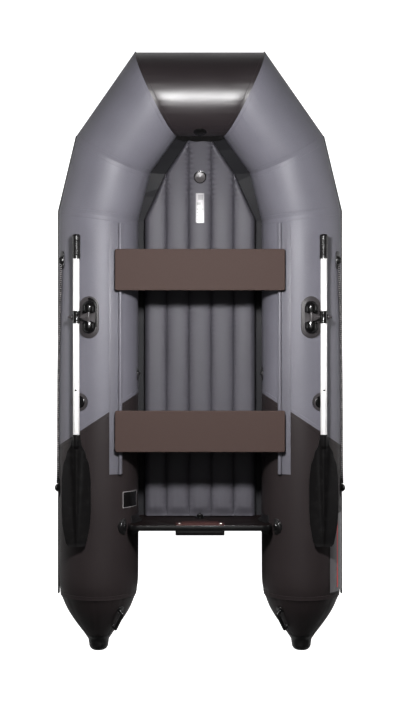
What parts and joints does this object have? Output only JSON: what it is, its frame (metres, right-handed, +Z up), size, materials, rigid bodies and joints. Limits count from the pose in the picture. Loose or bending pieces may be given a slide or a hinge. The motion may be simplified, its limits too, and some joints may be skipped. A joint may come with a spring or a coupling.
{
  "type": "inflatable dinghy",
  "caption": "Inflatable dinghy with a ribbed air floor, plywood transom, sliding benches, valves and stowed oars in swivel oarlocks.",
  "frame": {"origin": "middle of the length and beam, at the ground under the side tubes", "axes": "+Y to the bow, +X to starboard, +Z up"},
  "size_m": [1.5726, 3.2, 0.62],
  "materials": {
    "bow_fabric": "soft satin coated fabric",
    "grey_fabric": "satin coated fabric with fine weave",
    "dark_fabric": "satin coated fabric with fine weave",
    "floor_fabric": "satin coated fabric",
    "bottom_fabric": "matt coated fabric",
    "black_rubber": "moulded, satin",
    "black_plastic": "moulded, satin",
    "valve_plastic": "moulded",
    "trim_plastic": "extruded edge trim",
    "transom_wood": "painted plywood",
    "pad_wood": "stained plywood",
    "bench_wood": "film-faced plywood",
    "steel": "bright",
    "grey_metal": "satin",
    "shaft_aluminium": "bright anodised",
    "blade_plastic": "moulded, satin",
    "rope": "braided"
  },
  "bodies": {
    "hull": {"tube_bow": "bow_fabric", "tube_shoulders": "grey_fabric", "tube_forwards": "grey_fabric", "tube_side_port": "grey_fabric", "tube_side_starboard": "grey_fabric", "tube_stern_port": "dark_fabric", "tube_stern_starboard": "dark_fabric", "stern_cones": "dark_fabric", "cone_caps": "black_rubber", "bulkheads": "grey_fabric", "rub_strake": "black_rubber", "bottom_skin": "bottom_fabric", "keel_guard": "black_rubber", "floor_top": "floor_fabric", "floor_webs": "floor_fabric", "transom_board": "transom_wood", "transom_trim": "trim_plastic", "transom_brackets": "black_rubber", "transom_holders": "black_rubber", "motor_pad_outer": "black_plastic", "motor_pad_inner": "pad_wood", "pad_bolts": "steel", "drain_valve": "black_plastic", "bench_rail_port": "grey_fabric", "bench_rail_starboard": "grey_fabric", "valve_housings": "black_plastic", "oarlock_bases": "black_plastic", "oarlock_axles": "steel", "grab_line_hubs": "black_rubber", "grab_line_port": "rope", "grab_line_starboard": "rope", "stern_handles": "black_rubber", "strap_eyes": "black_rubber"},
    "bench_front": {"bench_front_board": "bench_wood", "bench_front_shoes": "black_plastic"},
    "bench_rear": {"bench_rear_board": "bench_wood", "bench_rear_shoes": "black_plastic"},
    "drain_plug": {"drain_plug": "black_plastic"},
    "cap_port": {"valve_cap_port": "black_plastic"},
    "poppet_port": {"valve_poppet_port": "valve_plastic"},
    "cap_starboard": {"valve_cap_starboard": "black_plastic"},
    "poppet_starboard": {"valve_poppet_starboard": "valve_plastic"},
    "cap_bow": {"valve_cap_bow": "black_plastic"},
    "poppet_bow": {"valve_poppet_bow": "valve_plastic"},
    "cap_floor": {"valve_cap_floor": "black_plastic"},
    "poppet_floor": {"valve_poppet_floor": "valve_plastic"},
    "tee_port": {"oarlock_tee_port": "grey_metal"},
    "oar_port": {"oar_shaft_port": "shaft_aluminium", "oar_grip_port": "black_rubber", "oar_blade_port": "blade_plastic", "oar_collar_port": "black_plastic"},
    "button_port": {"oar_button_port": "black_plastic"},
    "tee_starboard": {"oarlock_tee_starboard": "grey_metal"},
    "oar_starboard": {"oar_shaft_starboard": "shaft_aluminium", "oar_grip_starboard": "black_rubber", "oar_blade_starboard": "blade_plastic", "oar_collar_starboard": "black_plastic"},
    "button_starboard": {"oar_button_starboard": "black_plastic"}
  },
  "joints": [
    {"name": "bench_front_slide", "type": "slide", "parent": "hull", "child": "bench_front", "axis": [0, 1, 0], "range_m": [-0.3, 0.12]},
    {"name": "bench_rear_slide", "type": "slide", "parent": "hull", "child": "bench_rear", "axis": [0, 1, 0], "range_m": [-0.1, 0.28]},
    {"name": "drain_twist", "type": "hinge", "parent": "hull", "child": "drain_plug", "pos_m": [0, -0.896, 0.15], "axis": [0, 1, 0], "range_deg": [0, 90]},
    {"name": "cap_twist_port", "type": "hinge", "parent": "hull", "child": "cap_port", "pos_m": [-0.63601, -0.245, 0.41291], "axis": [-0.3907, 0, 0.9205], "range_deg": [0, 90]},
    {"name": "poppet_push_port", "type": "slide", "parent": "hull", "child": "poppet_port", "axis": [0.3907, 0, -0.9205], "range_m": [0, 0.005], "stiffness_N_per_m": 300, "springref_m": -0.005},
    {"name": "cap_twist_starboard", "type": "hinge", "parent": "hull", "child": "cap_starboard", "pos_m": [0.63601, -0.245, 0.41291], "axis": [0.3907, 0, 0.9205], "range_deg": [0, 90]},
    {"name": "poppet_push_starboard", "type": "slide", "parent": "hull", "child": "poppet_starboard", "axis": [-0.3907, 0, -0.9205], "range_m": [0, 0.005], "stiffness_N_per_m": 300, "springref_m": -0.005},
    {"name": "cap_twist_bow", "type": "hinge", "parent": "hull", "child": "cap_bow", "pos_m": [0, 1.16933, 0.46065], "axis": [0, -0.9659, 0.2588], "range_deg": [0, 90]},
    {"name": "poppet_push_bow", "type": "slide", "parent": "hull", "child": "poppet_bow", "axis": [0, 0.9659, -0.2588], "range_m": [0, 0.005], "stiffness_N_per_m": 300, "springref_m": -0.005},
    {"name": "cap_twist_floor", "type": "hinge", "parent": "hull", "child": "cap_floor", "pos_m": [0, 0.98, 0.17289], "axis": [0, -0.3534, 0.9355], "range_deg": [0, 90]},
    {"name": "poppet_push_floor", "type": "slide", "parent": "hull", "child": "poppet_floor", "axis": [0, 0.3534, -0.9355], "range_m": [0, 0.005], "stiffness_N_per_m": 300, "springref_m": -0.005},
    {"name": "oar_lift_port", "type": "hinge", "parent": "hull", "child": "tee_port", "pos_m": [-0.584, 0.201, 0.455], "axis": [0, 1, 0], "range_deg": [0, 90]},
    {"name": "oar_swing_port", "type": "hinge", "parent": "tee_port", "child": "oar_port", "pos_m": [-0.648, 0.201, 0.455], "axis": [-1, 0, 0], "range_deg": [0, 3]},
    {"name": "button_push_port", "type": "slide", "parent": "oar_port", "child": "button_port", "axis": [0, 0, -1], "range_m": [0, 0.004], "stiffness_N_per_m": 400, "springref_m": -0.004},
    {"name": "oar_lift_starboard", "type": "hinge", "parent": "hull", "child": "tee_starboard", "pos_m": [0.584, 0.201, 0.455], "axis": [0, -1, 0], "range_deg": [0, 90]},
    {"name": "oar_swing_starboard", "type": "hinge", "parent": "tee_starboard", "child": "oar_starboard", "pos_m": [0.648, 0.201, 0.455], "axis": [-1, 0, 0], "range_deg": [0, 3]},
    {"name": "button_push_starboard", "type": "slide", "parent": "oar_starboard", "child": "button_starboard", "axis": [0, 0, -1], "range_m": [0, 0.004], "stiffness_N_per_m": 400, "springref_m": -0.004}
  ]
}
